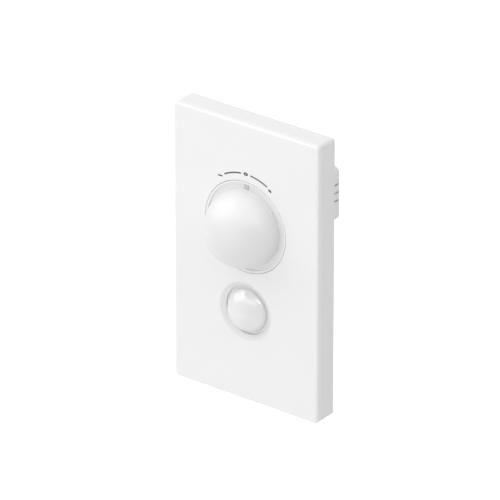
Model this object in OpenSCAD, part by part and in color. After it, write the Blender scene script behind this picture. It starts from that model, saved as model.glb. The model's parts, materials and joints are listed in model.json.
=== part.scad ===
// Wall switch with a rotary mode selector and a passive infrared motion sensor.
// Millimetres. X runs right, Z up and Y into the wall, whose face is Y = 0.
// Names ending in _h are heights out from the wall: negative ones lie inside the wall box.

/* [Plate] */
// Width of the wall plate
plate_w = 70; // [66:0.5:90]
// Height of the wall plate
plate_h = 120; // [114:0.5:140]
// Depth of the plate, from the wall to its front face
plate_d = 10.7; // [10.2:0.1:14]
// Corner radius of the plate seen from the front
plate_r = 1.4; // [1.2:0.1:4]
// Rounding along the front edge of the cover
edge_r = 1; // [0.4:0.1:1.1]
// Depth of the cover's own side, down to the parting line
cover_side = 2.8; // [2.4:0.1:3.6]
// Open parting line between the cover and the frame
parting_gap = 0.05; // [0.05:0.05:0.3]
// Wall thickness of the cover and the frame
wall_t = 2; // [1.6:0.1:2.3]

/* [Selector knob] */
// Height of the knob's axis above the middle of the plate
knob_z = 15.8; // [13:0.1:18]
// Radius of the knob's dome
dome_r = 16; // [13:0.1:17.5]
// How far the rim of the dome stands in front of the plate
dome_lift = 0.6; // [0.3:0.1:2]
// Width of the flange outside the dome
flange_lip = 3.4; // [3:0.1:4]
// How far the rim of the flange lies behind the front of the plate
flange_sink = 0.1; // [0:0.05:0.3]
// Width of the raised rim of the flange
flange_rim = 0.95; // [0.7:0.05:1.2]
// How far the floor of the flange lies behind its rim
floor_drop = 0.8; // [0.5:0.05:1]
// How far the dome overhangs the neck it stands on
neck_step = 0.3; // [0.2:0.1:0.9]
// Wall thickness of the knob
knob_wall = 1.6; // [1.2:0.1:2]
// Width of the pointer let into the flange
pointer_w = 2.3; // [1.5:0.1:3.5]

/* [Sensor lens] */
// Height of the lens axis from the middle of the plate
lens_z = -21; // [-24:0.1:-20]
// Radius of the lens where it comes out of the plate
lens_r = 9.3; // [8.5:0.05:11]
// Height of the domed lens
lens_rise = 6.3; // [3.5:0.1:7]
// How far the foot of the lens lies behind the front of the plate
lens_sink = 1.2; // [0.8:0.05:1.4]
// Open gap between the lens and the cover
lens_gap = 0.95; // [0.4:0.05:1.1]
// How far the shoulder of the lens lies behind its foot, as a groove around it
lens_groove = 0.6; // [0.2:0.05:0.7]
// Thickness of the lens skin
lens_t = 1; // [0.8:0.05:1.2]
// Facets in the outer band of the lens
outer_facets = 12; // [8:1:16]
// Facets in the inner band of the lens
inner_facets = 6; // [4:1:8]

/* [Openings in the cover] */
// Bevel around the knob opening
knob_bevel = 0.15; // [0.1:0.05:0.4]
// Width of the sloping dish around the lens
lens_dish = 2.25; // [1.5:0.05:3]

/* [Rear body] */
// Width of the rear housing
body_w = 40; // [38:0.5:44]
// Height of the rear housing
body_h = 66.6; // [64:0.2:68]
// Depth of the rear housing behind the wall face
body_d = 17.5; // [17:0.1:20]
// Depth of the power block behind the wall face
block_d = 23.6; // [22.5:0.1:30]
// Height of the power block at the top of the housing
block_h = 23.5; // [23:0.1:25]
// How far the power block stands above the rest of the housing
block_rise = 1.3; // [0.8:0.1:1.6]
// Corner radius of the rear housing
body_r = 2.8; // [2:0.1:4]
// Wall thickness of the rear housing
body_wall = 1.6; // [1.2:0.1:1.8]

/* [Vents] */
// Number of vent slots on each side of the power block
vent_count = 3; // [2:1:4]
// Distance between vent slots
vent_pitch = 3.45; // [2.5:0.05:4]
// Width of a vent slot
vent_w = 0.8; // [0.5:0.05:1.2]
// Length of a vent slot
vent_len = 9; // [5:0.5:12]

/* [Fixings] */
// Distance between the two box screws
box_pitch = 83.5; // [82:0.1:86]
// Width of a box screw slot
slot_w = 4.8; // [4.2:0.1:5.4]
// Length of a box screw slot
slot_len = 8; // [7:0.1:8.6]

/* [Terminals] */
// Distance between neighbouring terminals
term_pitch = 9.2; // [8.5:0.1:9.6]
// Radius of a wire entry
wire_r = 1.6; // [1.3:0.05:1.7]

/* [Fits] */
// Free gap around the edge of the turning knob
ring_gap = 0.15; // [0.15:0.05:0.4]
// Free gap behind the turning shaft
turn_gap = 0.3; // [0.3:0.05:0.4]
// Gap between fixed parts that slide together
slip = 0.2; // [0.1:0.05:0.3]
// Running clearance of the shaft
run_fit = 0.05; // [0.02:0.01:0.08]

/* [Hidden] */
$fn = 96;

// Bite of one shape into its neighbour within a piece, and overrun of a cut
bite = 0.5;
shell_white = [0.94, 0.94, 0.93];
frame_white = [0.88, 0.88, 0.87];
lens_white = [0.96, 0.96, 0.96];
pointer_grey = [0.55, 0.56, 0.57];
inner_grey = [0.35, 0.36, 0.38];
board_green = [0.1, 0.35, 0.2];
part_black = [0.12, 0.12, 0.13];
metal = [0.75, 0.76, 0.78];
brass = [0.8, 0.65, 0.3];

// Cover and frame
face_h = plate_d;
cover_in_h = face_h - wall_t;
cover_low_h = face_h - cover_side;
frame_top_h = cover_low_h - parting_gap;
web_t = 2.2;
inner_w = plate_w - 2 * wall_t;
inner_h = plate_h - 2 * wall_t;
inner_r = max(plate_r - wall_t, 0.2);
lip_t = 1.2;
lip_reach = 1.4;
lip_low_h = frame_top_h - lip_reach;
catch_d = 0.9;
catch_clear = 0.5;
catch_t = 1.4;
catch_high_h = lip_low_h - catch_clear;
catch_low_h = catch_high_h - catch_t;
catch_len = 9;
hook_t = 1.3;
hook_w = 6;
hook_drop = 1.2;
hook_inset = 24;
hook_z = plate_h / 2 - hook_inset;
post_side = 4;
post_x = inner_w / 2 - slip - lip_t - post_side;
post_z = inner_h / 2 - slip - lip_t - post_side;

// Chassis, which carries the switch and the sensor
chassis_t = 2;
chassis_rim = 4;
chassis_h = web_t + chassis_t;
chassis_w = body_w + 2 * chassis_rim;
chassis_l = body_h + 2 * chassis_rim;
chassis_r = 2;
chassis_screw_out = 2.2;
chassis_screw_x = body_w / 2 + chassis_screw_out;
chassis_screw_z = body_h / 2 + chassis_screw_out;
chassis_screw_r = 0.9;
chassis_head_r = 1.7;
chassis_head_t = 1.2;
chassis_top_h = chassis_h + chassis_head_t;
cross_l = 2;
tab_t = 1.2;
tab_w = 6;
tab_z = 20;
tab_low_h = -2.6;
barb_h = -0.6;
barb_out = 1;

// Boards
board_t = 1.6;
board_side_gap = 0.6;
board_end_gap = 1.2;
board_w = body_w - 2 * body_wall - 2 * board_side_gap;
board_h = body_h - 2 * body_wall - 2 * board_end_gap;
control_h = -4.5;
control_low_h = control_h - board_t;
board_space = 1.9;
power_h = control_low_h - board_space;
power_low_h = power_h - board_t;
post_r = 2.2;
post_hole_r = 1;
post_hole_l = 5;
board_screw_l = 4;
board_post_in = 2.6;
board_post_x = board_w / 2 - board_post_in;
board_post_z = board_h / 2 - board_post_in;
board_head_r = 1.8;
board_head_t = 1.4;
lead_r = 0.25;
lead_hole_r = 0.4;
solder_out = 1;

// Knob
neck_r = dome_r - neck_step;
seat_w = 0.7;
plug_r = neck_r - seat_w;
flange_r = dome_r + flange_lip;
flange_t = 1.8;
flange_rim_h = face_h - flange_sink;
flange_rim_r = flange_r - flange_rim;
flange_h = flange_rim_h - floor_drop;
flange_low_h = flange_h - flange_t;
dome_h = face_h + dome_lift;
neck_plug = 1.9;
neck_top_h = dome_h + neck_plug;
rim_r = 0.3;
knob_hole_r = flange_r + ring_gap;
knob_bevel_r = knob_hole_r + knob_bevel;
collar_t = 2.5;
collar_step = 0.3;
collar_low_h = flange_low_h + collar_step;
pointer_margin = 0.1;
pointer_out_r = flange_rim_r - pointer_margin;
pointer_in_r = neck_r + pointer_margin;
pointer_t = 0.6;
hub_r = 5;
hub_rise = 9;
hub_top_h = dome_h + hub_rise;
hub_roof = 1.2;
rib_t = 1.2;
rib_count = 6;

// Rotary switch
shaft_r = 3;
shaft_flat = 0.8;
shaft_clear = 2;
shaft_low_h = control_h + shaft_clear;
shaft_top_h = hub_top_h - hub_roof;
bushing_r = 3.5;
bushing_gap = 0.6;
bushing_top_h = flange_low_h - bushing_gap;
washer_r = 5.5;
washer_t = 0.5;
nut_flats = 10;
nut_t = 2;
switch_w = 14;

// Lens and sensor
lens_hole_r = lens_r + lens_gap;
lens_dish_r = lens_hole_r + lens_dish;
lens_foot_h = face_h - lens_sink;
lens_ball_r = (lens_r * lens_r + lens_rise * lens_rise) / (2 * lens_rise);
lens_ball_h = lens_foot_h + lens_rise - lens_ball_r;
lens_fit = 0.05;
lens_shoulder_r = lens_hole_r - lens_fit;
lens_shoulder_h = lens_foot_h - lens_groove;
lens_flange_lip = 1.8;
lens_flange_r = lens_hole_r + lens_flange_lip;
facet_w = 0.3;
facet_depth = 0.3;
facet_ring_r = 5.15;
facet_eye_r = 1;
shroud_t = 1.7;
can_r = 4.6;
can_rim_r = 5;
can_rim_t = 0.5;
can_low_h = 0.4;
can_top_h = 5.2;
can_gap = 0.3;
window_w = 4.2;
window_h = 3.2;
window_t = 0.4;
holder_r = 5;
pin_ring_r = 2.54;
eye_r = 1.5;
eye_rim_r = 1.9;
eye_rim_t = 1;
eye_x = 8;
eye_rise = 1.6;
eye_top_h = chassis_h + eye_rise;
lead_x = 0.9;

// Rear housing and the parts on the power board
mouth_h = web_t;
block_z = body_h / 2 + block_rise - block_h / 2;
block_low_z = block_z - block_h / 2;
vent_rise = 0.95;
vent_z = block_z + vent_rise;
vent_back = 0.5;
vent_low_h = vent_back - block_d;
term_l = 13;
rest_w = 4;
rest_lap = 1;
rest_gap = 3.5;
rest_x = board_w / 2 - rest_lap;
rest_end_x = body_w / 2 - body_wall + bite;
rest_low_z = -body_h / 2 + term_l + rest_w;
rest_high_z = block_low_z - rest_gap;
label_w = 24;
label_h = 16;
label_z = -5;
label_t = 0.3;
header_in = 3;
header_x = -board_w / 2 + header_in;
header_w = 2.5;
pin_pitch = 2.54;
pin_count = 6;
pin_r = 0.32;
pin_hole_r = 0.45;
pin_out = 0.8;

// Parts on the boards: tall ones hang in the power block, in from the edge of the power board
part_edge = 1.3;
part_gap = 1.65;
tall_l = 11;
relay_w = 18.5;
relay_l = 10.5;
relay_x = board_w / 2 - part_edge - relay_w / 2;
film_w = board_w - 2 * part_edge - relay_w - part_gap;
film_l = 8;
film_x = -board_w / 2 + part_edge + film_w / 2;
film_z = board_h / 2 - part_edge - film_l / 2;
filter_r = 3.15;
filter_in = 7.7;
filter_x = -board_w / 2 + filter_in;
filter_z = film_z - film_l / 2 - part_gap - filter_r;
guard_x = 8;
guard_z = 3;
varistor_r = 4;
varistor_t = 3.5;
fuse_r = 3;
fuse_l = 5.5;
chip_x = 9;
chip_z = -3;
chip_w = 4;
chip_l = 5;
chip_t = 1.5;
chip_lift = 0.1;
leg_l = 1.4;
leg_w = 0.4;
leg_t = 0.4;
leg_pitch = 1.27;
leg_out = 0.3;

// Terminals
term_w = term_pitch - slip;
term_low_z = -body_h / 2;
term_low_h = -body_d;
entry_l = 3;
wire_drop = 2.8;
wire_h = power_low_h - wire_drop;
wire_gap = 0.1;
clamp_w = 5.8;
clamp_l = 6;
clamp_gap = 0.7;
clamp_t = 5.5;
clamp_high_h = power_low_h - clamp_gap;
clamp_low_h = clamp_high_h - clamp_t;
clamp_z = term_low_z + entry_l + clamp_l / 2;
clamp_screw_r = 1.25;
clamp_head_r = 2.4;
clamp_head_t = 1.4;
clamp_face_h = clamp_low_h - clamp_head_t;
driver_w = 0.6;
driver_d = 0.6;

// Moves its child in the plane of the plate
module at(x, z) {
    translate([x, 0, z]) children();
}

// A flat shape seen from the front, carried from one height to another
module slab(low, high) {
    translate([0, -low, 0]) rotate([90, 0, 0]) linear_extrude(high - low) children();
}

// A profile of radius and height, turned about the line out from the wall
module turned() {
    rotate([90, 0, 0]) rotate_extrude() children();
}

// Round rod and tube out from the wall
module rod(r, low, high) {
    slab(low, high) circle(r);
}

module tube(r_out, r_in, low, high) {
    slab(low, high) difference() {
        circle(r_out);
        circle(r_in);
    }
}

// Block centred on its child position, w wide and l tall
module block(w, l, low, high) {
    slab(low, high) square([w, l], center = true);
}

// Flat rectangle with round corners
module round_rect(w, l, r) {
    square([w - 2 * r, l], center = true);
    square([w, l - 2 * r], center = true);
    for (x = [-1, 1], z = [-1, 1]) {
        translate([x * (w / 2 - r), z * (l / 2 - r)]) circle(r);
    }
}

// Copies its child to the four corners of a rectangle
module corners(x, z) {
    for (sx = [-1, 1], sz = [-1, 1]) {
        at(sx * x, sz * z) children();
    }
}

// Copies its child left and right
module both_sides() {
    children();
    mirror([1, 0, 0]) children();
}

// Section of the cover's rim: a strip of the given half width with a rounded front edge
module rim_section(half) {
    translate([0, cover_low_h]) square([half, cover_side - edge_r]);
    translate([0, cover_low_h]) square([half - edge_r, cover_side]);
    translate([half - edge_r, face_h - edge_r]) intersection() {
        circle(edge_r);
        square(edge_r);
    }
}

// Solid outline of the cover with its rounded front edge
module cover_blank() {
    both_sides() {
        translate([0, 0, -plate_h / 2 + plate_r]) linear_extrude(plate_h - 2 * plate_r) {
            mirror([0, 1]) rim_section(plate_w / 2);
        }
    }
    for (side = [0, 180]) {
        rotate([0, side, 0]) translate([-plate_w / 2 + plate_r, 0, 0]) rotate([0, 90, 0]) {
            linear_extrude(plate_w - 2 * plate_r) mirror([0, 1]) rim_section(plate_h / 2);
        }
    }
    corners(plate_w / 2 - plate_r, plate_h / 2 - plate_r) turned() rim_section(plate_r);
}

// Round opening whose front flares out into a sloping dish
module dished_hole(hole_r, dish_r, depth, low) {
    turned() polygon([
        [0, low], [hole_r, low], [hole_r, face_h - depth],
        [dish_r, face_h], [dish_r, face_h + bite], [0, face_h + bite]
    ]);
}

// Hook on the back of the cover that snaps under a catch in the frame
module cover_hook() {
    hook_x = inner_w / 2 - catch_d - slip;
    slab(catch_low_h - hook_drop, cover_in_h + bite) {
        translate([hook_x - hook_t, -hook_w / 2]) square([hook_t, hook_w]);
    }
    slab(catch_low_h - hook_drop, catch_low_h) {
        translate([hook_x - bite, -hook_w / 2]) square([catch_d + bite, hook_w]);
    }
}

// Decorative front cover with the knob opening and the lens opening
module front_cover() {
    color(shell_white) difference() {
        union() {
            difference() {
                cover_blank();
                slab(cover_low_h - bite, cover_in_h) round_rect(inner_w, inner_h, inner_r);
            }
            slab(lip_low_h, cover_in_h + bite) difference() {
                square([inner_w - 2 * slip, inner_h - 2 * slip], center = true);
                square([inner_w - 2 * slip - 2 * lip_t, inner_h - 2 * slip - 2 * lip_t], center = true);
            }
            at(0, knob_z) rod(knob_hole_r + collar_t, collar_low_h, cover_in_h + bite);
            both_sides() for (z = [-hook_z, hook_z]) at(0, z) cover_hook();
        }
        at(0, knob_z) dished_hole(knob_hole_r, knob_bevel_r, knob_bevel, collar_low_h - bite);
        at(0, lens_z) dished_hole(lens_hole_r, lens_dish_r, lens_sink, cover_in_h - bite);
    }
}

// Slot for a box screw, long way up
module screw_slot() {
    slab(-bite, web_t + bite) {
        square([slot_w, slot_len - slot_w], center = true);
        for (z = [-1, 1]) {
            translate([0, z * (slot_len - slot_w) / 2]) circle(slot_w / 2);
        }
    }
}

// Mounting frame that is screwed to the wall box
module base_frame() {
    color(frame_white) difference() {
        union() {
            slab(0, frame_top_h) difference() {
                round_rect(plate_w, plate_h, plate_r);
                round_rect(inner_w, inner_h, inner_r);
            }
            slab(0, web_t) square([inner_w + bite, inner_h + bite], center = true);
            corners(post_x, post_z) block(post_side, post_side, web_t - bite, cover_in_h);
            both_sides() for (z = [-hook_z, hook_z]) {
                at((inner_w - catch_d + bite) / 2, z) {
                    block(catch_d + bite, catch_len, catch_low_h, catch_high_h);
                }
            }
        }
        slab(-bite, web_t + bite) {
            round_rect(body_w + 2 * slip, body_h + 2 * slip, body_r + slip);
            translate([0, block_z]) round_rect(body_w + 2 * slip, block_h + 2 * slip, body_r + slip);
        }
        for (z = [-box_pitch / 2, box_pitch / 2]) at(0, z) screw_slot();
        corners(chassis_screw_x, chassis_screw_z) rod(chassis_screw_r, -bite, web_t + bite);
    }
}

// Tab on the back of the chassis whose barb snaps into a window of the rear housing
module chassis_tab() {
    tab_x = body_w / 2 - body_wall;
    slab(tab_low_h, web_t + bite) {
        translate([tab_x - tab_t, -tab_w / 2]) square([tab_t, tab_w]);
    }
    slab(tab_low_h, barb_h) {
        translate([tab_x - bite, -tab_w / 2]) square([barb_out + bite, tab_w]);
    }
}

// Inner plate that carries the rotary switch, the sensor and the control board
module chassis() {
    color(inner_grey) difference() {
        union() {
            slab(web_t, chassis_h) round_rect(chassis_w, chassis_l, chassis_r);
            corners(board_post_x, board_post_z) rod(post_r, control_h, web_t + bite);
            both_sides() for (z = [-tab_z, tab_z]) at(0, z) chassis_tab();
        }
        at(0, knob_z) rod(bushing_r + slip, web_t - bite, chassis_h + bite);
        at(0, lens_z) rod(can_r + can_gap, web_t - bite, chassis_h + bite);
        both_sides() at(eye_x, lens_z) rod(eye_r, web_t - bite, chassis_h + bite);
        corners(chassis_screw_x, chassis_screw_z) rod(chassis_screw_r, web_t - bite, chassis_h + bite);
        corners(board_post_x, board_post_z) rod(post_hole_r, control_h - bite, control_h + post_hole_l);
    }
}

// Vent slots on one side of the power block, which stop just short of its back
module vents() {
    depth = body_wall + bite;
    for (i = [0 : vent_count - 1]) {
        at(body_w / 2 - depth / 2 + bite, vent_z + (i - (vent_count - 1) / 2) * vent_pitch) {
            block(depth + bite, vent_w, vent_low_h, vent_low_h + vent_len);
        }
    }
}

// Rear housing: a shallow box with a deeper power block at its top
module rear_housing() {
    color(frame_white) {
        difference() {
            union() {
                slab(-body_d, mouth_h) round_rect(body_w, body_h, body_r);
                at(0, block_z) slab(-block_d, mouth_h) round_rect(body_w, block_h, body_r);
            }
            slab(body_wall - body_d, mouth_h + bite) {
                round_rect(body_w - 2 * body_wall, body_h - 2 * body_wall, body_r - body_wall);
            }
            at(0, block_z) slab(body_wall - block_d, mouth_h + bite) {
                round_rect(body_w - 2 * body_wall, block_h - 2 * body_wall, body_r - body_wall);
            }
            both_sides() vents();
            both_sides() for (z = [-tab_z, tab_z]) {
                at(body_w / 2 - body_wall / 2, z) {
                    block(body_wall + 2 * bite, tab_w + 2 * slip, tab_low_h - slip, barb_h);
                }
            }
            at(0, term_low_z + (term_l + slip - bite) / 2) {
                block(3 * term_pitch + slip, term_l + slip + bite, term_low_h - bite, power_low_h + slip);
            }
            at(0, label_z) block(label_w, label_h, -body_d - bite, label_t - body_d);
        }
        both_sides() for (z = [rest_low_z, rest_high_z]) {
            at((rest_x + rest_end_x) / 2, z) {
                block(rest_end_x - rest_x, rest_w, body_wall - body_d - bite, power_low_h);
            }
        }
    }
}

// Flat side of the shaft, seen from the front
module d_shape(r) {
    difference() {
        circle(r);
        translate([-r, -2 * r + shaft_flat]) square([2 * r, r]);
    }
}

// Domed cap of the selector knob
module knob_cap() {
    color(shell_white) at(0, knob_z) turned() difference() {
        union() {
            intersection() {
                translate([0, dome_h]) circle(dome_r);
                translate([0, dome_h + rim_r]) square(dome_r);
            }
            translate([0, dome_h]) square([dome_r - rim_r, 2 * rim_r]);
            translate([dome_r - rim_r, dome_h + rim_r]) circle(rim_r);
        }
        translate([0, dome_h]) circle(dome_r - knob_wall);
        translate([0, dome_h - bite]) square([plug_r, neck_top_h - dome_h + bite]);
        translate([-dome_r, dome_h - bite]) square([dome_r, 2 * dome_r]);
    }
}

// Rimmed flange, neck and ribbed hub that carry the cap on the shaft
module knob_carrier() {
    color(shell_white) at(0, knob_z) difference() {
        union() {
            rod(flange_r, flange_low_h, flange_h);
            tube(flange_r, flange_rim_r, flange_h - bite, flange_rim_h);
            tube(neck_r, plug_r - knob_wall, flange_h - bite, dome_h);
            tube(plug_r, plug_r - knob_wall, flange_h - bite, neck_top_h);
            rod(hub_r, flange_h - bite, hub_top_h);
            for (i = [0 : rib_count - 1]) {
                rotate([0, i * 360 / rib_count, 0]) at((hub_r + plug_r - knob_wall) / 2, 0) {
                    block(plug_r - knob_wall - hub_r + 2 * bite, rib_t, flange_h - bite, dome_h);
                }
            }
        }
        slab(flange_low_h - bite, shaft_top_h) d_shape(shaft_r);
        pointer_shape();
    }
}

// Pointer let into the floor of the flange
module pointer_shape() {
    at(0, (pointer_in_r + pointer_out_r) / 2) {
        block(pointer_w, pointer_out_r - pointer_in_r, flange_h - pointer_t, flange_h);
    }
}

module knob_pointer() {
    color(pointer_grey) at(0, knob_z) pointer_shape();
}

// Shaft of the rotary switch, flat on the side that drives the knob
module switch_shaft() {
    color(metal) at(0, knob_z) {
        rod(shaft_r, shaft_low_h, bushing_top_h);
        slab(bushing_top_h - bite, shaft_top_h) d_shape(shaft_r);
    }
}

// Threaded neck of the rotary switch
module switch_bushing() {
    color(metal) at(0, knob_z) tube(bushing_r, shaft_r + run_fit, web_t, bushing_top_h);
}

// Hexagon nut that clamps the rotary switch to the chassis
module switch_nut() {
    color(metal) at(0, knob_z) slab(chassis_h + washer_t, chassis_h + washer_t + nut_t) difference() {
        circle(nut_flats / sqrt(3), $fn = 6);
        circle(bushing_r);
    }
}

module switch_washer() {
    color(metal) at(0, knob_z) tube(washer_r, bushing_r + slip, chassis_h, chassis_h + washer_t);
}

// Sealed body of the rotary switch, whose contacts and detent stay inside
module switch_body() {
    color(part_black) at(0, knob_z) difference() {
        block(switch_w, switch_w, control_h, web_t);
        rod(shaft_r + run_fit, shaft_low_h - turn_gap, web_t + bite);
    }
}

// Groove between two facets inside the lens
module facet_groove(from_r, to_r) {
    at((from_r + to_r) / 2, 0) block(to_r - from_r, facet_w, lens_foot_h, face_h + lens_rise);
}

// Domed lens with a clamping flange and two bands of facets on its inner side
module sensor_lens() {
    inner_r = lens_ball_r - lens_t;
    color(lens_white) at(0, lens_z) difference() {
        turned() difference() {
            union() {
                intersection() {
                    translate([0, lens_ball_h]) circle(lens_ball_r);
                    translate([0, lens_foot_h]) square([lens_r, lens_rise]);
                }
                translate([0, cover_in_h - lens_t]) square([lens_r, lens_foot_h - cover_in_h + lens_t]);
                translate([0, cover_in_h - lens_t]) {
                    square([lens_shoulder_r, lens_shoulder_h - cover_in_h + lens_t]);
                }
                translate([0, cover_in_h - lens_t]) square([lens_flange_r, lens_t]);
            }
            intersection() {
                translate([0, lens_ball_h]) circle(inner_r);
                translate([0, cover_in_h]) square([lens_r - lens_t, lens_r + lens_rise]);
            }
            translate([0, cover_in_h - lens_t - bite]) {
                square([lens_r - lens_t, lens_t + 2 * bite]);
            }
        }
        intersection() {
            translate([0, -lens_ball_h, 0]) sphere(inner_r + facet_depth);
            union() {
                slab(lens_foot_h, face_h + lens_rise) difference() {
                    circle(facet_ring_r + facet_w / 2);
                    circle(facet_ring_r - facet_w / 2);
                }
                for (i = [0 : inner_facets - 1]) {
                    rotate([0, i * 360 / inner_facets, 0]) facet_groove(facet_eye_r, facet_ring_r);
                }
                for (i = [0 : outer_facets - 1]) {
                    rotate([0, i * 360 / outer_facets, 0]) facet_groove(facet_ring_r, lens_r - lens_t);
                }
            }
        }
    }
}

// Tube that presses the lens flange against the cover and keeps stray light out
module sensor_shroud() {
    color(part_black) at(0, lens_z) {
        tube(lens_flange_r, lens_flange_r - shroud_t, chassis_h, cover_in_h - lens_t);
    }
}

// Metal can of the heat sensor
module sensor_can() {
    color(metal) at(0, lens_z) difference() {
        union() {
            rod(can_rim_r, can_low_h, can_low_h + can_rim_t);
            rod(can_r, can_low_h, can_top_h);
        }
        block(window_w, window_h, can_top_h - window_t, can_top_h + bite);
    }
}

module sensor_window() {
    color(part_black) at(0, lens_z) block(window_w, window_h, can_top_h - window_t, can_top_h);
}

// Places its child at each of the three sensor pins
module at_sensor_pins() {
    for (angle = [45, 135, 270]) {
        at(pin_ring_r * cos(angle), lens_z + pin_ring_r * sin(angle)) children();
    }
}

module sensor_pins() {
    color(metal) at_sensor_pins() rod(lead_r, control_low_h - solder_out, can_low_h);
}

// Spacer that holds the can at the right height over the board
module sensor_holder() {
    color(part_black) difference() {
        at(0, lens_z) rod(holder_r, control_h, can_low_h);
        at_sensor_pins() rod(lead_hole_r, control_h - bite, can_low_h + bite);
    }
}

// Clear round-topped eye with a rim and two leads
module eye() {
    rod(eye_rim_r, web_t - eye_rim_t, web_t);
    rod(eye_r, web_t - eye_rim_t, eye_top_h - eye_r);
    intersection() {
        translate([0, eye_r - eye_top_h, 0]) sphere(eye_r);
        rod(eye_r, eye_top_h - eye_r, eye_top_h);
    }
    for (x = [-lead_x, lead_x]) {
        at(x, 0) rod(lead_r, control_low_h - solder_out, web_t - eye_rim_t + bite);
    }
}

module light_sensor() {
    color(lens_white) at(-eye_x, lens_z) eye();
}

module indicator_led() {
    color([0.75, 0.2, 0.15]) at(eye_x, lens_z) eye();
}

module controller_chip() {
    color(part_black) at(chip_x, chip_z) {
        block(chip_w, chip_l, control_h + chip_lift, control_h + chip_lift + chip_t);
        for (x = [-1, 1], i = [-1.5 : 1.5]) {
            at(x * (chip_w / 2 + leg_out), i * leg_pitch) {
                block(leg_l, leg_w, control_h, control_h + leg_t);
            }
        }
    }
}

// Places its child at each pin of the link between the boards
module at_link_pins() {
    for (i = [0 : pin_count - 1]) {
        at(header_x, (i - (pin_count - 1) / 2) * pin_pitch) children();
    }
}

// Front board with the sensor, the switch and the controller
module control_board() {
    color(board_green) difference() {
        block(board_w, board_h, control_low_h, control_h);
        corners(board_post_x, board_post_z) rod(post_hole_r, control_low_h - bite, control_h + bite);
        at_sensor_pins() rod(lead_hole_r, control_low_h - bite, control_h + bite);
        at_link_pins() rod(pin_hole_r, control_low_h - bite, control_h + bite);
        for (eye = [-eye_x, eye_x], x = [-lead_x, lead_x]) {
            at(eye + x, lens_z) rod(lead_hole_r, control_low_h - bite, control_h + bite);
        }
    }
}

// Rear board with the mains parts and the terminals
module power_board() {
    color(board_green) difference() {
        block(board_w, board_h, power_low_h, power_h);
        at_link_pins() rod(pin_hole_r, power_low_h - bite, power_h + bite);
    }
}

module link_header() {
    color(part_black) difference() {
        at(header_x, 0) block(header_w, pin_count * pin_pitch, power_h, control_low_h);
        at_link_pins() rod(pin_r, power_h - bite, control_low_h + bite);
    }
}

module link_pins() {
    color(metal) at_link_pins() rod(pin_r, power_low_h - pin_out, control_h + pin_out);
}

// Mains parts that hang in the power block
module relay() {
    color(part_black) at(relay_x, block_z) block(relay_w, relay_l, power_low_h - tall_l, power_low_h);
}

module film_capacitor() {
    color([0.75, 0.65, 0.2]) at(film_x, film_z) block(film_w, film_l, power_low_h - tall_l, power_low_h);
}

module filter_capacitor() {
    color(inner_grey) at(filter_x, filter_z) rod(filter_r, power_low_h - tall_l, power_low_h);
}

// Surge and overload protection beside the power block
module varistor() {
    color([0.2, 0.35, 0.6]) at(-guard_x, guard_z) rod(varistor_r, power_low_h - varistor_t, power_low_h);
}

module fuse() {
    color(part_black) at(guard_x, guard_z) rod(fuse_r, power_low_h - fuse_l, power_low_h);
}

// Places its child at each of the three terminals
module at_terminals() {
    for (i = [-1, 0, 1]) {
        at(i * term_pitch, 0) children();
    }
}

// Wire entry from below, on the axis of one terminal
module wire_hole(r, low_z, high_z) {
    translate([0, -wire_h, low_z]) cylinder(h = high_z - low_z, r = r);
}

// Three insulating terminal bodies, open below for the wires and behind for the screws
module terminal_blocks() {
    color(inner_grey) at_terminals() difference() {
        at(0, term_low_z + term_l / 2) block(term_w, term_l, term_low_h, power_low_h);
        at(0, clamp_z) block(clamp_w, clamp_l, clamp_low_h, power_low_h + bite);
        at(0, clamp_z) rod(clamp_head_r + slip, term_low_h - bite, clamp_low_h + bite);
        wire_hole(wire_r, term_low_z - bite, clamp_z);
    }
}

// Brass clamps that take the wires
module terminal_clamps() {
    color(brass) at_terminals() difference() {
        at(0, clamp_z) block(clamp_w, clamp_l, clamp_low_h, clamp_high_h);
        at(0, clamp_z) rod(clamp_screw_r, clamp_low_h - bite, wire_h);
        wire_hole(wire_r + wire_gap, clamp_z - clamp_l, clamp_z + clamp_l);
    }
}

// Slotted screws that press the wires into the clamps
module terminal_screws() {
    color(metal) at_terminals() at(0, clamp_z) difference() {
        union() {
            rod(clamp_head_r, clamp_face_h, clamp_low_h);
            rod(clamp_screw_r, clamp_low_h - bite, wire_h - wire_r - 2 * wire_gap);
        }
        block(driver_w, 3 * clamp_head_r, clamp_face_h - bite, clamp_face_h + driver_d);
    }
}

// Screws that fix the chassis to the frame
module chassis_screws() {
    color(metal) corners(chassis_screw_x, chassis_screw_z) difference() {
        union() {
            rod(chassis_head_r, chassis_h, chassis_top_h);
            rod(chassis_screw_r, bite, chassis_h + bite);
        }
        for (turn = [0, 90]) {
            rotate([0, turn, 0]) {
                block(driver_w, cross_l, chassis_top_h - driver_d, chassis_top_h + bite);
            }
        }
    }
}

// Screws that fix the control board to the posts of the chassis
module board_screws() {
    color(metal) corners(board_post_x, board_post_z) {
        rod(board_head_r, control_low_h - board_head_t, control_low_h);
        rod(post_hole_r, control_low_h - bite, control_h + board_screw_l);
    }
}

front_cover();
base_frame();
chassis();
rear_housing();
knob_cap();
knob_carrier();
knob_pointer();
switch_shaft();
switch_bushing();
switch_nut();
switch_washer();
switch_body();
sensor_lens();
sensor_shroud();
sensor_can();
sensor_window();
sensor_pins();
sensor_holder();
light_sensor();
indicator_led();
controller_chip();
control_board();
power_board();
link_header();
link_pins();
relay();
film_capacitor();
filter_capacitor();
varistor();
fuse();
terminal_blocks();
terminal_clamps();
terminal_screws();
chassis_screws();
board_screws();
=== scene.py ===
# %% [markdown]
# # A wall switch with a turning knob and a motion sensor
# The object is a white wall plate. A domed knob on it turns between three settings, a milky lens
# below it lets a heat sensor look into the room, and a housing with the mains parts goes into the
# wall. Its solid model is loaded first and is never moved. The pieces that the eye rests on get a
# finer surface of their own here, and every piece gets a finish made of shader nodes.

# %% Load the solid model
import json
import math

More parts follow.
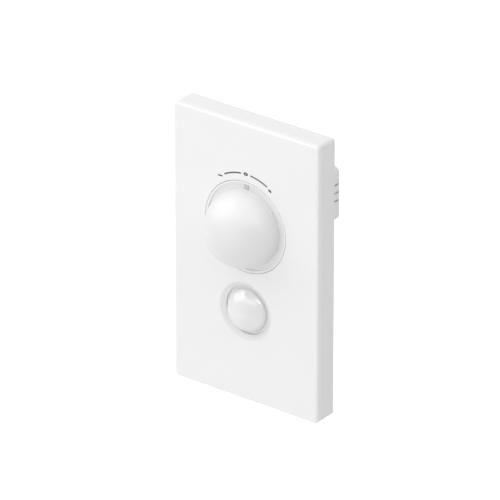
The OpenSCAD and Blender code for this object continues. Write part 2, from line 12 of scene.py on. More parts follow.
import bmesh
import bpy
import numpy as np
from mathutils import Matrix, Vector

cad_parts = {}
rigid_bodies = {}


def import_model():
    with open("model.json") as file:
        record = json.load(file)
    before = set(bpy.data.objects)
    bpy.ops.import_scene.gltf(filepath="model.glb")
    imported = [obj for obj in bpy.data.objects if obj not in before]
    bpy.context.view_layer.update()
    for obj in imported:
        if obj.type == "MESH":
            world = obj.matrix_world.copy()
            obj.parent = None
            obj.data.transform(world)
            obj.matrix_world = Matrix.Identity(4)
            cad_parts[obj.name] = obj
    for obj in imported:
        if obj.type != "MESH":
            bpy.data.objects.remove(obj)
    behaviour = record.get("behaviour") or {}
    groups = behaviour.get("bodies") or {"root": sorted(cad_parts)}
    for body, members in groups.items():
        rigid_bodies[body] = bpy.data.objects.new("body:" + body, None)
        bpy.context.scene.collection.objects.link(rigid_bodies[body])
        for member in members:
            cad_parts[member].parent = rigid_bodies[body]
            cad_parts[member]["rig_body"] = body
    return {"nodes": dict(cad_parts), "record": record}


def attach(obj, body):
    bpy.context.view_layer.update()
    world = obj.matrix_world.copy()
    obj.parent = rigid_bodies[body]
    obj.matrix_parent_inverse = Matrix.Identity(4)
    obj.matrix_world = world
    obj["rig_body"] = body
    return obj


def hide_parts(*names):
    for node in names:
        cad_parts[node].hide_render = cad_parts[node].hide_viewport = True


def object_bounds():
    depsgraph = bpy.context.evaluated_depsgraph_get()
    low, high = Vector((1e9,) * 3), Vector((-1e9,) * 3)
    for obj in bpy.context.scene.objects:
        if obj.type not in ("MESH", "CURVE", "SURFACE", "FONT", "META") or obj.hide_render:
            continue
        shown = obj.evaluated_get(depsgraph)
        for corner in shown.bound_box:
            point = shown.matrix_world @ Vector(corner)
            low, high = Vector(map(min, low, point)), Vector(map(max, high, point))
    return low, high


for leftover in list(bpy.data.objects):
    bpy.data.objects.remove(leftover)
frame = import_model()
solid_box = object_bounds()
MM = 0.001
solid_size = [round(v / MM, 2) for v in solid_box[1] - solid_box[0]]
print("solid pieces", len(frame["nodes"]), "box in mm", solid_size)

# %% [markdown]
# ## Camera
# A product picture of a small switch is taken from far away with a long lens, so that edges which
# are parallel on the object stay parallel in the picture. The camera could be set by eye, but the
# four corners of the plate are sharp, so its turn, height and distance were fitted to them. It
# stands to the right of the plate and above it.

# %% Set the camera
AZIMUTH, ELEVATION, DISTANCE = math.radians(37.02), math.radians(26.61), 2.479
TARGET = Vector((-2.02, -5.0, 3.0)) * MM
LENS_MM, SENSOR_MM = 457.7, 36
camera = bpy.data.objects.new("camera", bpy.data.cameras.new("camera"))
bpy.context.scene.collection.objects.link(camera)
back = Vector((
    math.sin(AZIMUTH) * math.cos(ELEVATION),
    -math.cos(AZIMUTH) * math.cos(ELEVATION),
    math.sin(ELEVATION),
))
camera.location = TARGET + back * DISTANCE
camera.rotation_euler = back.to_track_quat("Z", "Y").to_euler()
camera.data.sensor_width = SENSOR_MM
camera.data.lens = LENS_MM
bpy.context.scene.camera = camera
print("camera at", [round(v, 3) for v in camera.location])

# %% [markdown]
# ## Studio
# White plastic on a white ground is lit almost from everywhere, as in a light tent: the shade on
# the sides is soft and pale, and a few large soft boxes give the shape. The world is the tent.
# Camera, mirror and glass rays see it as plain white, and all other rays see it dimmer, so the
# white ground doesn't flood the plate with light.

# %% Node helpers
def add_node(tree, kind, links=(), **values):
    """One shader node; links gives (input, output socket) pairs, values set sockets or properties."""
    node = tree.nodes.new(kind)
    for key, value in values.items():
        if key in node.inputs:
            node.inputs[key].default_value = value
        else:
            setattr(node, key, value)
    for socket, output in links:
        tree.links.new(output, node.inputs[socket])
    return node


def seen_directly(tree):
    """1 for camera, mirror and glass rays, otherwise 0: the largest of three ray flags."""
    path = add_node(tree, "ShaderNodeLightPath")
    first = add_node(
        tree, "ShaderNodeMath",
        [(0, path.outputs["Is Camera Ray"]), (1, path.outputs["Is Glossy Ray"])], operation="MAXIMUM",
    )
    both = add_node(
        tree, "ShaderNodeMath", [(0, first.outputs[0]), (1, path.outputs["Is Transmission Ray"])],
        operation="MAXIMUM",
    )
    return both.outputs[0]


print("node helpers ready")

# %% World as a light tent
TENT = 0.51
world = bpy.data.worlds.new("light_tent")
world.use_nodes = True
bpy.context.scene.world = world
tree = world.node_tree
tree.nodes.clear()
dim = add_node(tree, "ShaderNodeBackground", Color=(1, 1, 1, 1), Strength=TENT)
white = add_node(tree, "ShaderNodeBackground", Color=(1, 1, 1, 1), Strength=1.0)
mixed = add_node(
    tree, "ShaderNodeMixShader",
    [(0, seen_directly(tree)), (1, dim.outputs[0]), (2, white.outputs[0])],
)
add_node(tree, "ShaderNodeOutputWorld", [("Surface", mixed.outputs[0])])
bpy.context.scene.view_settings.view_transform = "Standard"
print("tent strength", TENT)

# %% [markdown]
# ## Floor and lamps
# The switch hangs in the air in its picture, because it belongs on a wall, so the floor lies well
# below it. It is matt and pale, it takes the switch's shadow, and a little glow that only direct
# rays see lifts it to white. The soft boxes are area lamps: a wide one overhead for the top edge and
# the crown of the knob, one on the left that grazes the plate and shapes knob and lens, and one in
# front for the flat face. The one in front is hidden from mirror rays, or the lens would show it as
# a bright window. A narrow strip on the right gives the streak that tells a glossy lens from a matt
# one, and it is rolled so that the streak follows the lens's edge.

# %% Floor
FLOOR_Z, FLOOR_HALF = -0.30, 4.0
PAPER, PAPER_GLOW = 0.86, 0.55
around_floor = ((-1, -1), (1, -1), (1, 1), (-1, 1))
floor_corners = [(x * FLOOR_HALF, y * FLOOR_HALF, FLOOR_Z) for x, y in around_floor]
floor_mesh = bpy.data.meshes.new("floor")
floor_mesh.from_pydata(floor_corners, [], [(0, 1, 2, 3)])
floor = bpy.data.objects.new("floor", floor_mesh)
bpy.context.scene.collection.objects.link(floor)
paper = bpy.data.materials.new("pale_floor")
paper.use_nodes = True
tree = paper.node_tree
tree.nodes.clear()
matt = add_node(tree, "ShaderNodeBsdfDiffuse", Color=(PAPER, PAPER, PAPER, 1))
lift = add_node(tree, "ShaderNodeMath", [(0, seen_directly(tree))], operation="MULTIPLY")
lift.inputs[1].default_value = PAPER_GLOW
glow = add_node(tree, "ShaderNodeEmission", [("Strength", lift.outputs[0])], Color=(1, 1, 1, 1))
both = add_node(tree, "ShaderNodeAddShader", [(0, matt.outputs[0]), (1, glow.outputs[0])])
add_node(tree, "ShaderNodeOutputMaterial", [("Surface", both.outputs[0])])
floor_mesh.materials.append(paper)
print("floor at height", FLOOR_Z)

# %% Soft boxes
LAMP_DISTANCE = 0.9


def soft_box(name, towards, size, watts, roll=0):
    """Area lamp in the direction towards, turned back to the plate and rolled by degrees."""
    lamp = bpy.data.objects.new(name, bpy.data.lights.new(name, "AREA"))
    bpy.context.scene.collection.objects.link(lamp)
    direction = Vector(towards).normalized()
    lamp.location = direction * LAMP_DISTANCE
    lamp.rotation_euler = direction.to_track_quat("Z", "Y").to_euler()
    lamp.rotation_euler.rotate_axis("Z", math.radians(roll))
    lamp.data.shape = "RECTANGLE"
    lamp.data.size, lamp.data.size_y = size
    lamp.data.energy = watts
    lamp.visible_camera = False
    return lamp


for lamp in (
    soft_box("overhead_box", (0, -0.4, 0.92), (1.8, 1.0), 4.3),
    soft_box("front_box", (-0.1, -0.98, 0.05), (0.8, 0.8), 1.88),
    soft_box("left_box", (-0.75, -0.2, 0.6), (0.9, 0.9), 2.3),
    soft_box("side_strip", (0.79, -0.165, 0.595), (0.08, 0.55), 0.66, 20),
):
    lamp.visible_glossy = lamp.name != "front_box"
    print(lamp.name, [round(v, 2) for v in lamp.location], round(lamp.data.energy, 2), "W")

# %% [markdown]
# ## Finishes
# Moulded plastic is never one flat colour. The mould leaves a fine grain, the melt leaves faint
# clouds in tint and gloss, and handling polishes it unevenly. One helper makes all finishes from
# the same three layers of noise on Object coordinates, so the grain has a true size in millimetres
# and stays put when a piece moves: clouds for the tint, clouds for the roughness, and a fine grain
# for the bump. What doesn't vary is set on the shader itself.

# %% Finish helper
MIX_A, MIX_B, MIX_COLOUR = 6, 7, 2  # sockets of a Mix node that is set to colours
CLOUD_LOW, CLOUD_HIGH = 0.3, 0.7  # where most values of the noise lie


def finish(
    name, colour, rough, grain_mm=0.5, grain_depth=0.002,
    cloud_mm=18.0, tint=0.03, sway=0.05, **sockets,
):
    """Plastic or metal with tint, roughness and bump from noise.

    The tint runs from (1 - tint) times the colour to the colour, the roughness from rough - sway
    to rough + sway, and the surface rises and falls by grain_depth mm over about grain_mm.
    """
    made = bpy.data.materials.new(name)
    made.use_nodes = True
    tree = made.node_tree
    tree.nodes.clear()
    place = add_node(tree, "ShaderNodeTexCoord").outputs["Object"]
    cloud = add_node(
        tree, "ShaderNodeTexNoise", [("Vector", place)], Scale=1 / (cloud_mm * MM), Detail=3.0,
    )
    dark = tuple(c * (1 - tint) for c in colour) + (1,)
    shade = add_node(tree, "ShaderNodeMix", [("Factor", cloud.outputs[0])], data_type="RGBA")
    shade.inputs[MIX_A].default_value = dark
    shade.inputs[MIX_B].default_value = tuple(colour) + (1,)
    spread = {
        "From Min": CLOUD_LOW, "From Max": CLOUD_HIGH, "To Min": rough - sway, "To Max": rough + sway,
    }
    gloss = add_node(tree, "ShaderNodeMapRange", [("Value", cloud.outputs[0])], **spread)
    grain = add_node(
        tree, "ShaderNodeTexNoise", [("Vector", place)], Scale=1 / (grain_mm * MM), Detail=2.0,
    )
    bump = add_node(
        tree, "ShaderNodeBump", [("Height", grain.outputs[0])], Strength=1.0, Distance=grain_depth * MM,
    )
    surface = add_node(
        tree, "ShaderNodeBsdfPrincipled",
        [("Base Color", shade.outputs[MIX_COLOUR]), ("Roughness", gloss.outputs[0]),
         ("Normal", bump.outputs[0])],
    )
    for key, value in sockets.items():
        surface.inputs[key.replace("_", " ")].default_value = value
    add_node(tree, "ShaderNodeOutputMaterial", [("Surface", surface.outputs[0])])
    return made


print("finish helper ready")

# %% Table of finishes
FINISHES = {
    "shell_white": finish("satin_white", (0.90, 0.90, 0.90), 0.34, 0.6, 0.0015, tint=0.012),
    "knob_white": finish(
        "glossy_white", (0.79, 0.79, 0.79), 0.36, 0.8, 0.001, tint=0.012, sway=0.02,
        Specular_IOR_Level=1.0,
    ),
    "frame_white": finish("matt_white", (0.87, 0.87, 0.868), 0.48, 0.35, 0.004, tint=0.02),
    "lens_white": finish(
        "milky_lens", (0.87, 0.87, 0.87), 0.06, 0.9, 0.0005, 6.0, 0.05, 0.02,
        Transmission_Weight=0.06, IOR=1.6, Specular_IOR_Level=1.0,
    ),
    "pointer_grey": finish("grey_inlay", (0.62, 0.625, 0.63), 0.5, 0.3, 0.004),
    "inner_grey": finish("grey_inner", (0.28, 0.29, 0.31), 0.5, 0.3, 0.004),
    "part_black": finish("black_moulding", (0.03, 0.03, 0.033), 0.45, 0.3, 0.004, tint=0.2),
    "board_green": finish("green_board", (0.03, 0.16, 0.07), 0.3, 0.8, 0.006, 4.0, 0.35),
    "film_yellow": finish("yellow_case", (0.72, 0.55, 0.08), 0.35),
    "can_grey": finish("dark_sleeve", (0.10, 0.11, 0.14), 0.3, tint=0.15),
    "disc_blue": finish("blue_dip", (0.06, 0.15, 0.42), 0.3, 1.5, 0.02, tint=0.15),
    "clear_eye": finish(
        "clear_resin", (0.90, 0.92, 0.93), 0.08, sway=0.03, Transmission_Weight=0.85, IOR=1.5,
    ),
    "red_eye": finish(
        "red_resin", (0.62, 0.05, 0.04), 0.1, sway=0.03, Transmission_Weight=0.5, IOR=1.5,
    ),
    "steel": finish(
        "plated_steel", (0.66, 0.67, 0.68), 0.3, 0.15, 0.001, 3.0, 0.12, 0.08, Metallic=1.0,
    ),
    "brass": finish(
        "plain_brass", (0.76, 0.56, 0.22), 0.32, 0.15, 0.001, 3.0, 0.15, 0.08, Metallic=1.0,
    ),
}
print("finishes", len(FINISHES))

# %% Finishes on the solid pieces
slot_of = {row["node"]: row["material_slot"] for row in frame["record"]["subparts"]}
for node, solid in frame["nodes"].items():
    for held in solid.material_slots:
        held.material = FINISHES[slot_of[node]]
print("finished solid pieces", len(slot_of))

# %% [markdown]
# ## Painted shade in the openings
# The dish round the lens and the ring round the knob are painted a shade greyer than the face beside
# them. This is painted shade for the shadow that the lens and the knob throw into their recesses. The
# knob's flange has the same finish, so it is darkened too. A second material could do that, but the
# cover is one moulding. Instead its colour is multiplied by a share wherever the distance from the
# middle of an opening is below the opening's radius.

# %% Painted shade inside the openings
KNOB_Z, LENS_Z = 15.8, -21.0
# Each opening: height of its middle, its radius, and the share of colour kept there as painted shade.
SHADED_OPENINGS = ((KNOB_Z, 19.5, 0.955), (LENS_Z, 12.4, 0.92))


def paint_shade_inside(material, openings):
    """Paints shade: keeps only a share of the colour in circles on the front; openings gives (z,
    radius, share).
    """
    tree = material.node_tree
    surface = tree.nodes["Principled BSDF"]
    colour = surface.inputs["Base Color"].links[0].from_socket
    place = add_node(tree, "ShaderNodeTexCoord").outputs["Object"]
    on_wall = add_node(tree, "ShaderNodeVectorMath", [(0, place)], operation="MULTIPLY")
    on_wall.inputs[1].default_value = (1, 0, 1)
    for z, radius, shade_share in openings:
        apart = add_node(tree, "ShaderNodeVectorMath", [(0, on_wall.outputs[0])], operation="DISTANCE")
        apart.inputs[1].default_value = (0, 0, z * MM)
        shade_mask = add_node(tree, "ShaderNodeMath", [(0, apart.outputs["Value"])], operation="LESS_THAN")
        shade_mask.inputs[1].default_value = radius * MM
        # Painted shade: inside the circle the colour is multiplied by the share, for the shadow in the
        # recess.
        painted_shade = add_node(
            tree, "ShaderNodeMix", [("Factor", shade_mask.outputs[0]), (MIX_A, colour)],
            data_type="RGBA", blend_type="MULTIPLY",
        )
        painted_shade.inputs[MIX_B].default_value = (shade_share, shade_share, shade_share, 1)
        colour = painted_shade.outputs[MIX_COLOUR]
    tree.links.new(colour, surface.inputs["Base Color"])
    print("painted shade inside", openings)


# Paints shade into the dish round the lens and into the ring and flange round the knob.
paint_shade_inside(FINISHES["shell_white"], SHADED_OPENINGS)

# %% [markdown]
# ## From a grid to a mesh
# Every new surface below is a grid: rows and columns of points worked out with numpy as whole
# arrays. The faces are the little four-sided fields between neighbouring rows and columns. One
# helper numbers the fields, welds the seams and poles, turns all faces outwards and hands the mesh
# to the body that it moves with.

# %% Grid helpers
WELD, SLIVER = 2e-7, 1e-7
SHARP = math.radians(38)


def fields(rows, cols, start):
    """Corner numbers of the fields of a rows x cols grid whose last column meets the first.

    Point (i, j) has the number i * cols + j, counted on from start.
    """
    i = np.arange(rows - 1)[:, None] * cols
    j = np.arange(cols)[None, :]
    k = (j + 1) % cols
    return (np.stack([i + j, i + k, i + cols + k, i + cols + j], -1) + start).reshape(-1, 4)


def add_piece(name, grids, body, slot, *nodes):
    """Welds closed grids of points in mm, each rows x cols x 3, into one piece that rides on body.

    The slot names its finish. A finish that the solid model doesn't have, such as ink, is no slot.
    """
    quads, start = [], 0
    for grid in grids:
        quads.append(fields(grid.shape[0], grid.shape[1], start))
        start += grid.shape[0] * grid.shape[1]
    points = np.concatenate([grid.reshape(-1, 3) for grid in grids]) * MM
    mesh = bpy.data.meshes.new(name)
    mesh.from_pydata(points.tolist(), [], np.concatenate(quads).tolist())
    welded = bmesh.new()
    welded.from_mesh(mesh)
    bmesh.ops.remove_doubles(welded, verts=welded.verts, dist=WELD)
    bmesh.ops.dissolve_degenerate(welded, dist=SLIVER, edges=welded.edges)
    bmesh.ops.recalc_face_normals(welded, faces=welded.faces)
    open_edges = sum(1 for edge in welded.edges if len(edge.link_faces) != 2)
    welded.to_mesh(mesh)
    welded.free()
    mesh.polygons.foreach_set("use_smooth", np.ones(len(mesh.polygons), bool))
    mesh.set_sharp_from_angle(angle=SHARP)
    mesh.materials.append(FINISHES[slot])
    piece = bpy.data.objects.new(name, mesh)
    bpy.context.scene.collection.objects.link(piece)
    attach(piece, body)
    if nodes:
        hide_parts(*nodes)
    print(name, "faces", len(mesh.polygons), "open edges", open_edges)
    return piece


print("grid helpers ready")

# %% Profile helpers
def rounded(corners, radii, steps=6):
    """A broken line of (radius, height) points with its inner corners eased into arcs.

    At a corner between two sides with the angle 2a the arc's middle lies r / sin(a) from the corner
    on the line that halves the angle, and the arc swings from one side to the other.
    """
    corners = np.asarray(corners, float)
    out = [corners[:1]]
    for before, here, after, r in zip(corners[:-2], corners[1:-1], corners[2:], radii):
        a = (before - here) / np.linalg.norm(before - here)
        b = (after - here) / np.linalg.norm(after - here)
        if r == 0:
            out.append(here[None])
            continue
        half = np.arccos(np.clip(a @ b, -1, 1)) / 2
        middle = here + (a + b) / np.linalg.norm(a + b) * r / np.sin(half)
        start, end = (here + side * r / np.tan(half) - middle for side in (a, b))
        sweep = np.pi - 2 * half
        t = np.linspace(0, 1, steps + 1)[:, None]
        arc = np.sin((1 - t) * sweep) * start + np.sin(t * sweep) * end
        out.append(middle + arc / np.sin(sweep))
    out.append(corners[-1:])
    return np.vstack(out)


def swing(middle, r, first, last, steps):
    """Arc from angle first to angle last in degrees: middle plus r times (cos, sin)."""
    a = np.radians(np.linspace(first, last, steps))
    return np.stack([middle[0] + r * np.cos(a), middle[1] + r * np.sin(a)], -1)


def spun(profile, x, z, turns):
    """A profile turned about the line out from the wall through (x, z).

    Point (i, j) has the radius r and height h of profile point i at angle j:
    (x + r cos, -h, z + r sin).
    """
    a = np.linspace(0, 2 * np.pi, turns, endpoint=False)
    r, h = profile[:, :1], profile[:, 1:]
    return np.stack([x + r * np.cos(a), -h + 0 * a, z + r * np.sin(a)], -1)


print("profile helpers ready")

# %% [markdown]
# ## Front cover
# The cover is one moulded shell. A tool maker rounds every edge that a hand can touch: the rim
# over 1 mm, and the mouth of each dish a little less. A bevel on the solid could do that, but its
# corners pinch where three roundings meet. Here the shell is a profile carried round the outline
# of the plate, and each opening is a second profile carried round a circle. The flat face between
# them is a grid whose rows run from the outline to the circle. One opening lies above the other,
# so the face is split between them, and both halves share the points on the split.

# %% Outline of the plate
PLATE_W, PLATE_H, CORNER, EDGE = 70.0, 120.0, 1.4, 1.0
SPLIT = -6.5  # height at which the face is divided between the openings
flat = np.array([PLATE_W / 2 - EDGE, PLATE_H / 2 - EDGE])
bend = CORNER - EDGE


def side(start, end, step=0.9):
    """Evenly spaced points from start up to, not with, end."""
    start, end = np.asarray(start, float), np.asarray(end, float)
    count = math.ceil(np.linalg.norm(end - start) / step)
    return start + (end - start) * np.linspace(0, 1, count, endpoint=False)[:, None]


def corner(sx, sz, first):
    """Quarter circle at one corner of the flat front, without its last point."""
    return swing((sx * (flat[0] - bend), sz * (flat[1] - bend)), bend, first, first + 90, 13)[:-1]


right, top = flat
runs = [
    side((right, SPLIT), (right, top - bend)), corner(1, 1, 0),
    side((right - bend, top), (bend - right, top)), corner(-1, 1, 90),
    side((-right, top - bend), (-right, SPLIT)),
    side((-right, SPLIT), (-right, bend - top)), corner(-1, -1, 180),
    side((bend - right, -top), (right - bend, -top)), corner(1, -1, 270),
    side((right, bend - top), (right, SPLIT)),
]
outline = np.vstack(runs)
upper_count = sum(len(run) for run in runs[:5])
inner_box = flat - bend
outward = outline - np.clip(outline, -inner_box, inner_box)
outward /= np.linalg.norm(outward, axis=1)[:, None]


def shifted(d):
    """The outline shifted out by d; shifted in by more than the corner radius, corners go square."""
    return np.clip(outline + d * outward, -(flat + d), flat + d)


print("outline points", len(outline), "of which above the split", upper_count)

# %% Rim of the plate
FACE, COVER_IN, COVER_LOW, LIP_LOW = 10.7, 8.7, 7.9, 6.45
LIP_IN, WALL_IN, LIP_ROUND, LOW_ROUND = 1.2, 2.4, 0.2, 0.05
HAIR = 1e-4  # keeps the first point of the rim's arc apart from the flat face


def lifted(points, h):
    """Front-view points (x, z) put at height h out from the wall."""
    return np.stack([points[:, 0], np.full(len(points), -h), points[:, 1]], -1)


rim = rounded(
    [(0, FACE), (EDGE, FACE), (EDGE, COVER_LOW), (-LIP_IN, COVER_LOW), (-LIP_IN, LIP_LOW),
     (-WALL_IN, LIP_LOW), (-WALL_IN, COVER_IN)],
    [EDGE - HAIR, LOW_ROUND, 0, LIP_ROUND, LIP_ROUND], steps=9,
)
rim_grid = np.stack([lifted(shifted(d), h) for d, h in rim])
print("rim rows and columns", rim_grid.shape[:2])

# %% Helper for a face with an opening
def opening(loop, inner_loop, middle, profile):
    """Half of the front face with its opening, from the front outline to the back.

    Rows first go straight from the outline to a circle, then down the profile of the dish with the
    same directions, then out again to the inner wall.
    """
    ray = loop - middle
    ray = ray / np.linalg.norm(ray, axis=1)[:, None]
    first, last = middle + profile[0, 0] * ray, middle + profile[-1, 0] * ray
    spread = np.array([0, 0.008, 0.05, 0.2, 0.4, 0.6, 0.8, 0.95, 0.99])
    rows = [lifted(loop + (first - loop) * s, FACE) for s in spread]
    rows += [lifted(middle + r * ray, h) for r, h in profile]
    rows += [lifted(last + (inner_loop - last) * s, COVER_IN) for s in (0.02, 0.5, 1.0)]
    return np.stack(rows)


print("opening helper ready")

# %% Mouths of the openings
KNOB_LAND, KNOB_HOLE, KNOB_POCKET, POCKET_LOW = 20.4, 19.55, 22.05, 8.3
LENS_LAND, DISH_R, LENS_HOLE, DISH_LOW = 13.2, 12.5, 10.25, 9.5
MOUTH_ROUND, POCKET_ROUND, DISH_ROUND, HOLE_ROUND = 0.15, 0.1, 0.35, 0.15
knob_mouth = rounded(
    [(KNOB_LAND, FACE), (KNOB_HOLE, FACE), (KNOB_HOLE, POCKET_LOW), (KNOB_POCKET, POCKET_LOW),
     (KNOB_POCKET, COVER_IN)], [MOUTH_ROUND, POCKET_ROUND, 0],
)
lens_mouth = rounded(
    [(LENS_LAND, FACE), (DISH_R, FACE), (LENS_HOLE, DISH_LOW), (LENS_HOLE, COVER_IN)],
    [DISH_ROUND, HOLE_ROUND],
)
print("points of the mouths", len(knob_mouth), "and", len(lens_mouth))

# %% Whole cover
cut = side((-right, SPLIT), (right, SPLIT))[1:]
inner_outline = shifted(-WALL_IN)
narrow = cut * [(right - WALL_IN) / right, 1]
halves = [
    opening(
        np.vstack([outline[:upper_count + 1], cut]),
        np.vstack([inner_outline[:upper_count + 1], narrow]),
        np.array([0, KNOB_Z]), knob_mouth,
    ),
    opening(
        np.vstack([outline[upper_count:], outline[:1], cut[::-1]]),
        np.vstack([inner_outline[upper_count:], inner_outline[:1], narrow[::-1]]),
        np.array([0, LENS_Z]), lens_mouth,
    ),
]
add_piece("cover_shell", [rim_grid, *halves], "switch", "shell_white", "front_cover")

# %% [markdown]
# ## Knob
# The knob is a hollow half ball that stands on a slightly narrower neck. Its rim is turned under
# with a small radius, which is what gives the thin dark line round it. A sphere cut in half would
# have a knife edge there, so the dome is a profile turned once round: the outer arc, a small arc at
# the rim, the flat underside, the socket for the neck and the inner arc.

# %% Dome of the knob
DOME_R, DOME_H, KNOB_WALL, PLUG_R, NECK_TOP, RIM_R = 16.0, 11.3, 1.6, 15.0, 13.2, 0.3
rim_middle = math.sqrt((DOME_R - RIM_R) ** 2 - RIM_R ** 2)
meet = math.degrees(math.atan2(RIM_R, rim_middle))
hollow = DOME_R - KNOB_WALL
socket = math.degrees(math.asin((NECK_TOP - DOME_H) / hollow))
dome = np.vstack([
    swing((0, DOME_H), DOME_R, 90, meet, 64),
    swing((rim_middle, DOME_H + RIM_R), RIM_R, meet, -90, 8)[1:],
    [(PLUG_R, DOME_H), (PLUG_R, NECK_TOP)],
    swing((0, DOME_H), hollow, socket, 90, 40),
])
dome[[0, -1], 0] = 0
add_piece("knob_dome", [spun(dome, 0, KNOB_Z, 192)], "knob", "knob_white", "knob_cap")

# %% [markdown]
# ## Pointer
# A small grey block is let into the flange and points at the scale. Paint would wear off, so the
# real one is a second moulding. It is a low pillow: its outline is a rounded square, it falls off
# only close to its edge, and it rises a little towards the scale, so that it shows from below.

# %% Pointer inlay
POINTER = {"middle": 17.075, "half": (1.15, 1.275), "high": 9.8, "lean": 0.28}
POWER = 6  # 2 would give a round pillow, and a very large number a square one
around = np.linspace(0, 2 * np.pi, 96, endpoint=False)
square = (np.abs(np.cos(around)) ** POWER + np.abs(np.sin(around)) ** POWER) ** (-1 / POWER)
out = np.array([0, 0.3, 0.6, 0.8, 0.88, 0.94, 0.98, 1.0, 1.0, 0.5, 0.0])[:, None]
fall = np.array([0, 0, 0, 0, 0.02, 0.05, 0.1, 0.18, 0.6, 0.6, 0.6])[:, None]
across = POINTER["half"][0] * out * square * np.cos(around)
along = POINTER["middle"] + POINTER["half"][1] * out * square * np.sin(around)
lean = np.where(fall < 0.5, POINTER["lean"] * (1 + out * square * np.sin(around)), 0)
pillow = np.stack([across, fall - lean - POINTER["high"], KNOB_Z + along], -1)
add_piece("pointer_inlay", [pillow], "knob", "pointer_grey", "knob_pointer")

# %% [markdown]
# ## Lens
# The lens is a thin milky dome. Outside it is smooth and glossy. Inside it has two bands of
# facets, each a small lens that throws one patch of the room on the sensor; they show only as a
# faint change of depth. The outside is a profile turned once round, and the inside is the same
# grid with grooves: the wall gets thinner near the ring and near the spokes between facets.

# %% Dome of the lens
LENS_R, LENS_RISE, LENS_FOOT = 9.3, 6.3, 9.5
SHOULDER_R, SHOULDER, BORE, FOOT_R, FOOT_LOW = 10.2, 8.9, 8.3, 12.05, 7.7
SEAT_ROUND, LENS_ROUND = 0.15, 0.1
EASE_DEG, EASE_MM = 0.6, 0.1  # a short slant between the ball and its upright foot
ball_r = (LENS_R ** 2 + LENS_RISE ** 2) / (2 * LENS_RISE)
ball_h = LENS_FOOT + LENS_RISE - ball_r
foot = math.degrees(math.asin((LENS_FOOT - ball_h) / ball_r))
outside = np.vstack([
    swing((0, ball_h), ball_r, 90, foot + EASE_DEG, 48),
    rounded(
        [(LENS_R, LENS_FOOT - EASE_MM), (LENS_R, SHOULDER), (SHOULDER_R, SHOULDER),
         (SHOULDER_R, COVER_IN), (FOOT_R, COVER_IN), (FOOT_R, FOOT_LOW), (BORE, FOOT_LOW)],
        [SEAT_ROUND, LENS_ROUND, 0, LENS_ROUND, LENS_ROUND], steps=3,
    ),
])
outside[0, 0] = 0
print("ball radius of the lens", round(ball_r, 2), "mm, points of its outside", len(outside))

# %% Facets inside the lens
LENS_T, LENS_TURNS, POLE_R, PLAIN_EDGE = 1.0, 288, 0.15, 0.1
RING_R, INNER_FACETS, OUTER_FACETS = 5.15, 6, 12
GROOVE_W, GROOVE_DEEP, MIDDLE_R = 0.5, 0.3, 1.0
turns = np.linspace(0, 2 * np.pi, LENS_TURNS, endpoint=False)


def ridge(distance, width):
    """A smooth bump of height 1: e to the power of minus the square of the distance in half widths."""
    return np.exp(-((distance / (0.5 * width)) ** 2))


def facet_depth(r):
    """Depth of the grooves at radius r for all angles: a ring, then spokes inside and outside it."""
    spokes = np.where(r < RING_R, INNER_FACETS, OUTER_FACETS)
    gap = r * np.abs((turns * spokes / (2 * np.pi) + 0.5) % 1 - 0.5) * 2 * np.pi / spokes
    return GROOVE_DEEP * np.maximum(ridge(r - RING_R, GROOVE_W), ridge(gap, GROOVE_W) * (r > MIDDLE_R))


r_in = np.concatenate([np.linspace(BORE, POLE_R, 60), [0]])[:, None]
grooves = facet_depth(r_in) * (r_in < BORE - PLAIN_EDGE)
h_in = ball_h + np.sqrt((ball_r - LENS_T) ** 2 - r_in ** 2) + grooves
inside = np.stack([r_in * np.cos(turns), -h_in, LENS_Z + r_in * np.sin(turns)], -1)
whole = np.concatenate([spun(outside, 0, LENS_Z, LENS_TURNS), inside])
add_piece("lens_dome", [whole], "switch", "lens_white", "sensor_lens")

# %% [markdown]
# ## Printed scale
# Above the knob a thin scale is printed: a bar for off, a ring for the automatic setting and a dash
# for on, with an arc between each two. Ink is a film, so each mark is a pad only a few hundredths
# of a millimetre high. An arc or bar is a low section carried along a path, and its ends shrink to
# a point, which closes the film. The ring is a profile turned once round and pressed a little flat.

# %% Ink and ribbons
FINISHES["ink"] = finish("dark_print", (0.10, 0.10, 0.105), 0.55, 0.2, 0.003, 1.5, 0.3)
INK = 0.03


def ribbon(path, width):
    """A flat ribbon along path: each row is a section of eight points across the path.

    Across the path the section runs from -width/2 to width/2 and back under the surface, and the
    first and last rows have no width.
    """
    along = np.gradient(path, axis=0)
    along /= np.linalg.norm(along, axis=1)[:, None]
    across = np.stack([-along[:, 1], along[:, 0]], -1)
    offset = np.array([-1, -0.9, -0.4, 0.4, 0.9, 1, 0.4, -0.4]) * width / 2
    height = np.array([0.3, 1, 1, 1, 1, 0.3, -0.5, -0.5]) * INK
    taper = np.ones(len(path))
    taper[[0, -1]] = 0
    spot = path[:, None, :] + across[:, None, :] * offset[None, :, None] * taper[:, None, None]
    h = FACE + height[None, :] * taper[:, None]
    return np.stack([spot[..., 0], -h, spot[..., 1]], -1)


print("ink film", INK, "mm")

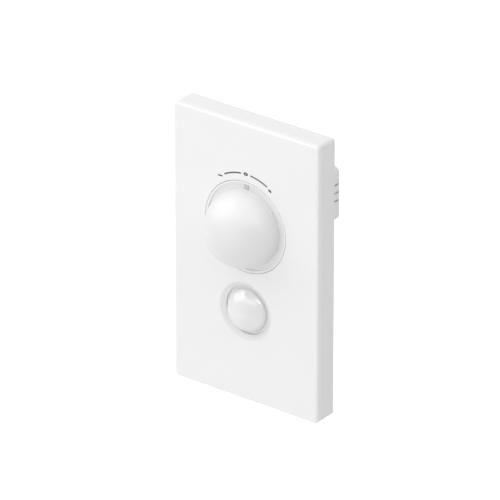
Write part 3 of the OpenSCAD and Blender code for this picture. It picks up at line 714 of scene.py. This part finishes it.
# %% Marks of the scale
SCALE_MIDDLE, SCALE_R, SCALE_TURN = (0.45, 17.5), 21.2, 90.8
ARC_FROM, ARC_TO, ARC_TIP, MARK_W, DASH_W = 5.9, 29.2, 0.1, 0.6, 0.85
BAR_AT, BAR_HALF = (-12.15, 34.65), (1.1, 0.05)
DASH_AT, DASH_HALF = (11.85, 34.85), (0.68, -0.48)
RING_AT, RING_SQUASH = (0.2, 0, 38.72), (1.15, 1, 0.74)
RING_MIDDLE, RING_IN, RING_OUT = 0.7, (0.26, 0.32), (0.97, 0.9)  # edges at the foot and on top
arc = np.concatenate([[ARC_FROM], np.linspace(ARC_FROM + ARC_TIP, ARC_TO - ARC_TIP, 40), [ARC_TO]])
for name, sign in (("scale_arc_right", -1), ("scale_arc_left", 1)):
    a = np.radians(SCALE_TURN + sign * arc)
    path = np.stack([SCALE_R * np.cos(a), SCALE_R * np.sin(a)], -1) + SCALE_MIDDLE
    add_piece(name, [ribbon(path, MARK_W)], "switch", "ink")
stroke = np.concatenate([[-1], np.linspace(-0.96, 0.96, 8), [1]])[:, None]
add_piece("scale_bar", [ribbon(BAR_AT + stroke * BAR_HALF, MARK_W)], "switch", "ink")
add_piece("scale_dash", [ribbon(DASH_AT + stroke * DASH_HALF, DASH_W)], "switch", "ink")
ring = np.array([
    (RING_MIDDLE, FACE - INK / 2), (RING_IN[0], FACE + INK / 3), (RING_IN[1], FACE + INK),
    (RING_OUT[1], FACE + INK), (RING_OUT[0], FACE + INK / 3), (RING_MIDDLE, FACE - INK / 2),
])
add_piece("scale_ring", [spun(ring, 0, 0, 64) * RING_SQUASH + RING_AT], "switch", "ink")

# %% [markdown]
# ## Frame, housing and terminals
# The frame behind the cover, the housing in the wall and the terminals are full of slots, windows
# and holes, so no single grid gives their shape. Their solids are right already, apart from edges
# as sharp as a knife. A copy of each solid is welded, its flat faces are joined, and a Bevel
# modifier eases the edges by up to a fifth of a millimetre, as a mould does. The knob's flange is
# treated the same way.

# %% Copies with eased edges
FLAT = math.radians(0.5)


def eased_copy(node, name, width):
    """Copy of a solid with equal points merged, flat faces joined and its edges bevelled."""
    source = frame["nodes"][node]
    points = np.empty(len(source.data.vertices) * 3)
    source.data.vertices.foreach_get("co", points)
    corners = np.empty(len(source.data.loops), int)
    source.data.loops.foreach_get("vertex_index", corners)
    merged, which = np.unique(np.round(points.reshape(-1, 3), 7), axis=0, return_inverse=True)
    mesh = bpy.data.meshes.new(name)
    mesh.from_pydata(merged.tolist(), [], which.reshape(-1)[corners].reshape(-1, 3).tolist())
    joined = bmesh.new()
    joined.from_mesh(mesh)
    bmesh.ops.dissolve_degenerate(joined, dist=SLIVER, edges=joined.edges)
    bmesh.ops.dissolve_limit(joined, angle_limit=FLAT, verts=joined.verts, edges=joined.edges)
    joined.to_mesh(mesh)
    joined.free()
    mesh.polygons.foreach_set("use_smooth", np.ones(len(mesh.polygons), bool))
    mesh.materials.append(FINISHES[slot_of[node]])
    piece = bpy.data.objects.new(name, mesh)
    bpy.context.scene.collection.objects.link(piece)
    bevel = piece.modifiers.new("eased_edges", "BEVEL")
    bevel.width, bevel.segments, bevel.limit_method = width * MM, 3, "ANGLE"
    bevel.angle_limit = SHARP
    bevel.harden_normals = True
    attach(piece, source["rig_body"])
    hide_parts(node)
    print(name, "points", len(mesh.vertices), "faces", len(mesh.polygons))


eased_copy("base_frame", "wall_frame", 0.06)
eased_copy("knob_carrier", "knob_flange", 0.12)
eased_copy("rear_housing", "wall_housing", 0.1)
eased_copy("terminal_blocks", "wire_blocks", 0.2)
